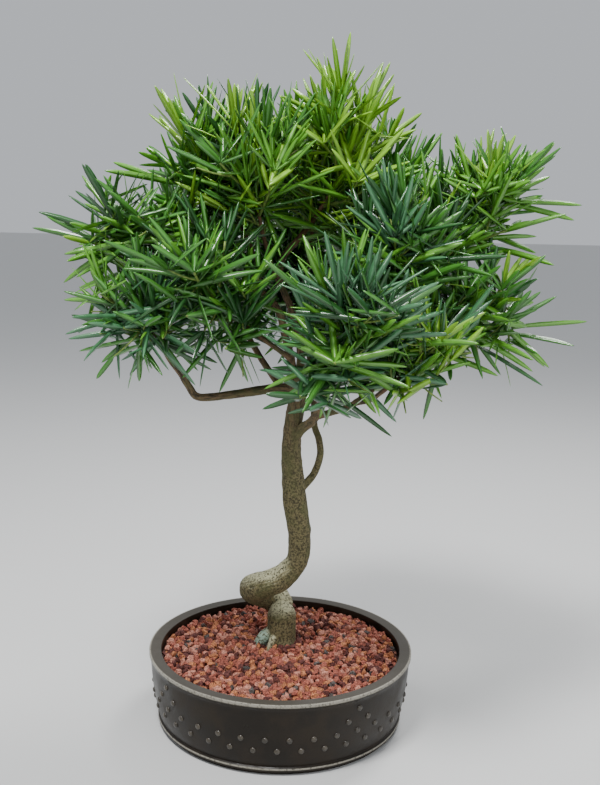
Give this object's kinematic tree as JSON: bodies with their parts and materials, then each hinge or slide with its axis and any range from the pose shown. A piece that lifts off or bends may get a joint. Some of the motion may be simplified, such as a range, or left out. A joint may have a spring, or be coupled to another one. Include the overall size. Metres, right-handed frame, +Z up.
{
  "type": "potted bonsai tree",
  "caption": "Buddhist pine grown as a bonsai: coiled trunk, tapering boughs and masses of long narrow leaves, in a round studded drum pot filled with red lava gravel.",
  "frame": {"origin": "centre of the pot's flat underside", "axes": "+Z up the tree; -Y towards the viewer of the picture, +X to the picture's right"},
  "size_m": [0.5989, 0.5013, 0.7648],
  "materials": {
    "pot": "dark brown satin stoneware, paler where the rim is worn",
    "gravel": "rough red lava gravel with some pink, grey and orange stones",
    "bark": "rough olive grey bark, browner higher up",
    "foliage": "glossy narrow leaves, lime at the shoot tips and dark green inside"
  },
  "bodies": {
    "root": {"pot": "pot", "soil": "gravel", "trunk": "bark", "bough_left_low_inner": "bark", "bough_left_low_outer": "bark", "bough_rear_loop_inner": "bark", "bough_rear_loop_outer": "bark", "bough_front": "bark", "bough_right_low": "bark", "bough_front_right": "bark", "bough_left_leader": "bark", "bough_upper_left": "bark", "bough_left_front": "bark", "bough_top_leader": "bark", "bough_centre": "bark", "bough_back_upper": "bark", "bough_right_leader": "bark", "bough_right_middle": "bark", "bough_right_front": "bark", "bough_back_left": "bark", "bough_back_right": "bark", "foliage_top": "foliage", "foliage_centre": "foliage", "foliage_upper_left": "foliage", "foliage_far_left": "foliage", "foliage_left_low": "foliage", "foliage_left_front": "foliage", "foliage_front": "foliage", "foliage_front_right": "foliage", "foliage_right_front": "foliage", "foliage_right_low": "foliage", "foliage_right_upper": "foliage", "foliage_right_middle": "foliage", "foliage_back_left": "foliage", "foliage_back": "foliage", "foliage_back_upper": "foliage", "foliage_back_right": "foliage"}
  },
  "joints": []
}
